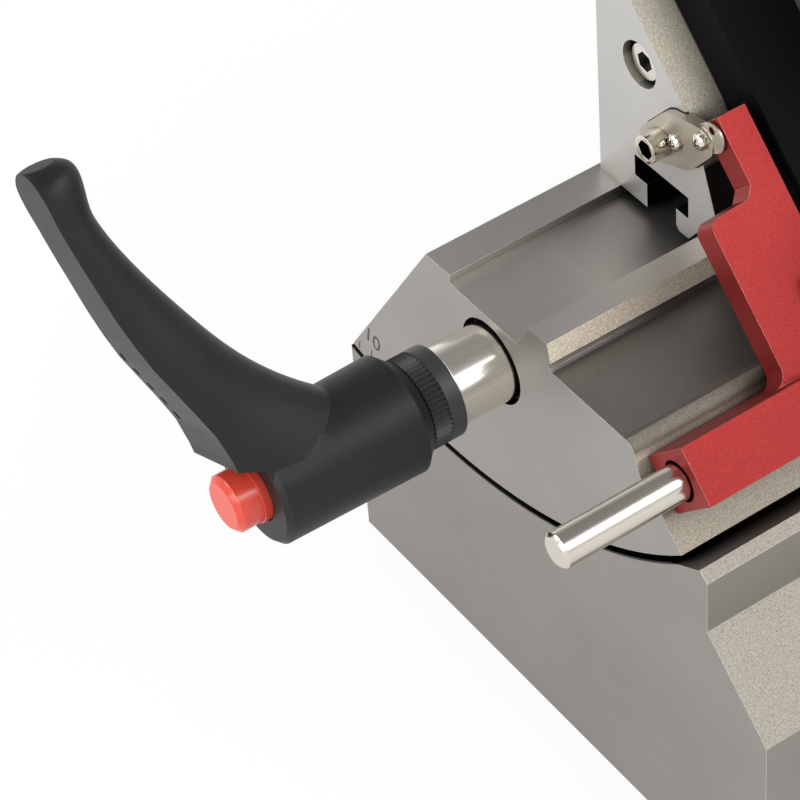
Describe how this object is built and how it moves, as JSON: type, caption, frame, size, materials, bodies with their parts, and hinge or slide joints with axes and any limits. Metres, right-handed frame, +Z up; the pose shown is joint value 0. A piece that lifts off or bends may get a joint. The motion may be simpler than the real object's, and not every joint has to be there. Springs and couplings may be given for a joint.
{
  "type": "key duplicating machine",
  "caption": "Bench key duplicating machine: grey base, tilting bed with clamp lever, red hinged vise carriage, black head plate with cutter, brush and tracer, belt-driven motor.",
  "frame": {"origin": "on the bench under the middle of the base, on the flat underside of the middle foot pad", "axes": "+X along the bed to the operator's right, +Y to the back, +Z up; the lever is on the left, the key carriage at the front"},
  "size_m": [0.3496, 0.1837, 0.2106],
  "materials": {
    "cast_grey": "fine texture",
    "machined": "fine shot-blasted",
    "black_gloss": "gloss",
    "black_plastic": "satin grained",
    "red_anodised": "satin anodised",
    "red_plastic": "gloss",
    "nickel": "polished",
    "steel": "brushed",
    "bronze": "satin",
    "brass": "satin",
    "rubber": "matte",
    "motor_paint": "satin"
  },
  "bodies": {
    "base": {"base_saddle": "cast_grey", "base_cover": "machined", "rubber_feet": "rubber", "foot_screws": "steel", "way_strips": "bronze", "power_switch": "black_plastic", "power_inlet": "black_plastic"},
    "rocker": {"power_rocker": "black_plastic"},
    "bed": {"tilting_bed": "machined", "head_rail": "steel", "rail_screws": "steel", "head_core": "machined", "left_cheek": "machined", "right_cheek": "machined", "cheek_screws": "nickel", "catch_plate": "nickel", "catch_barrel": "nickel", "catch_screws": "nickel", "head_plate": "black_gloss", "plate_screws": "steel", "spindle_housing": "machined", "socket_screws": "steel", "spindle_bearings": "steel", "tracer_holder": "machined", "tracer_lock_screw": "steel", "motor_body": "motor_paint", "motor_bracket": "machined", "bracket_screws": "steel", "drive_belt": "rubber", "guard_plate": "black_plastic", "belt_guard": "black_plastic", "guide_rod": "nickel", "rod_blocks": "machined"},
    "spindle": {"spindle": "steel", "cutter_wheel": "steel", "cutter_nut": "steel", "brush_wheel": "brass", "spindle_pulley": "steel"},
    "rotor": {"motor_pulley": "steel"},
    "tracer": {"tracer_bar": "steel"},
    "tracer_nut": {"tracer_knob": "black_plastic"},
    "shaft": {"clamp_shaft": "nickel", "serrated_ring": "black_plastic", "shaft_keeper": "nickel"},
    "draw": {"draw_bolts": "steel", "draw_shoes": "bronze", "draw_nuts": "steel"},
    "lever": {"lever_handle": "black_plastic"},
    "button": {"push_button": "red_plastic"},
    "carriage": {"carriage_frame": "red_anodised", "carriage_bushings": "bronze", "vise_rail": "steel", "rail_bolts": "steel"},
    "slide": {"vise_slide": "steel", "vise_bodies": "steel", "vise_studs": "steel"},
    "left_jaw": {"left_vise_jaw": "steel"},
    "right_jaw": {"right_vise_jaw": "steel"},
    "left_knob": {"left_vise_knob": "black_plastic"},
    "right_knob": {"right_vise_knob": "black_plastic"}
  },
  "joints": [
    {"name": "bed_tilt", "type": "hinge", "parent": "base", "child": "bed", "pos_m": [0, 0.0425, 0.198], "axis": [1, 0, 0], "range_deg": [-10, 10]},
    {"name": "rocker_tip", "type": "hinge", "parent": "base", "child": "rocker", "pos_m": [0.072, -0.0705, 0.034], "axis": [0, 0, -1], "range_deg": [0, 12]},
    {"name": "motor_spin", "type": "hinge", "parent": "bed", "child": "rotor", "pos_m": [0.1, 0.0735, 0.158], "axis": [1, 0, 0], "continuous": true},
    {"name": "spindle_spin", "type": "hinge", "parent": "bed", "child": "spindle", "pos_m": [0.045, -0.0144, 0.18071], "axis": [1, 0, 0], "continuous": true},
    {"name": "tracer_knob_turn", "type": "hinge", "parent": "bed", "child": "tracer_nut", "pos_m": [-0.045, 0.00257, 0.19768], "axis": [0, 0.7071, 0.7071], "range_deg": [-720, 720]},
    {"name": "tracer_slide", "type": "slide", "parent": "bed", "child": "tracer", "axis": [0, 0.7071, 0.7071], "range_m": [-0.002, 0.002]},
    {"name": "clamp_turn", "type": "hinge", "parent": "bed", "child": "shaft", "pos_m": [0, 0.0173, 0.1034], "axis": [-1, 0, 0], "range_deg": [0, 60]},
    {"name": "draw_slide", "type": "slide", "parent": "bed", "child": "draw", "axis": [0, -0.2575, -0.9663], "range_m": [0, 0.0007]},
    {"name": "lever_index", "type": "hinge", "parent": "shaft", "child": "lever", "pos_m": [-0.18, 0.0173, 0.1034], "axis": [-1, 0, 0], "continuous": true},
    {"name": "button_push", "type": "slide", "parent": "lever", "child": "button", "axis": [1, 0, 0], "range_m": [0, 0.0025], "stiffness_N_per_m": 400, "springref_m": -0.002},
    {"name": "carriage_rock", "type": "hinge", "parent": "bed", "child": "carriage", "pos_m": [0, -0.04261, 0.11431], "axis": [1, 0, 0], "range_deg": [0, 45], "stiffness_Nm_per_rad": 0.5, "springref_deg": -28.65},
    {"name": "vise_slide", "type": "slide", "parent": "carriage", "child": "slide", "axis": [1, 0, 0], "range_m": [-0.018, 0.018]},
    {"name": "left_knob_turn", "type": "hinge", "parent": "left_jaw", "child": "left_knob", "pos_m": [-0.045, -0.06531, 0.16233], "axis": [0, 0.7071, -0.7071], "range_deg": [0, 900]},
    {"name": "left_jaw_close", "type": "slide", "parent": "slide", "child": "left_jaw", "axis": [0, 0.7071, -0.7071], "range_m": [0, 0.005]},
    {"name": "right_knob_turn", "type": "hinge", "parent": "right_jaw", "child": "right_knob", "pos_m": [0.045, -0.06531, 0.16233], "axis": [0, 0.7071, -0.7071], "range_deg": [0, 900]},
    {"name": "right_jaw_close", "type": "slide", "parent": "slide", "child": "right_jaw", "axis": [0, 0.7071, -0.7071], "range_m": [0, 0.005]}
  ],
  "couplings": [
    {"joint": "spindle_spin", "follows": "motor_spin", "ratio": 1},
    {"joint": "tracer_knob_turn", "follows": "tracer_slide", "rad_per_m": -6283.2},
    {"joint": "clamp_turn", "follows": "draw_slide", "rad_per_m": 1496},
    {"joint": "left_knob_turn", "follows": "left_jaw_close", "rad_per_m": 3141.6},
    {"joint": "right_knob_turn", "follows": "right_jaw_close", "rad_per_m": 3141.6}
  ]
}
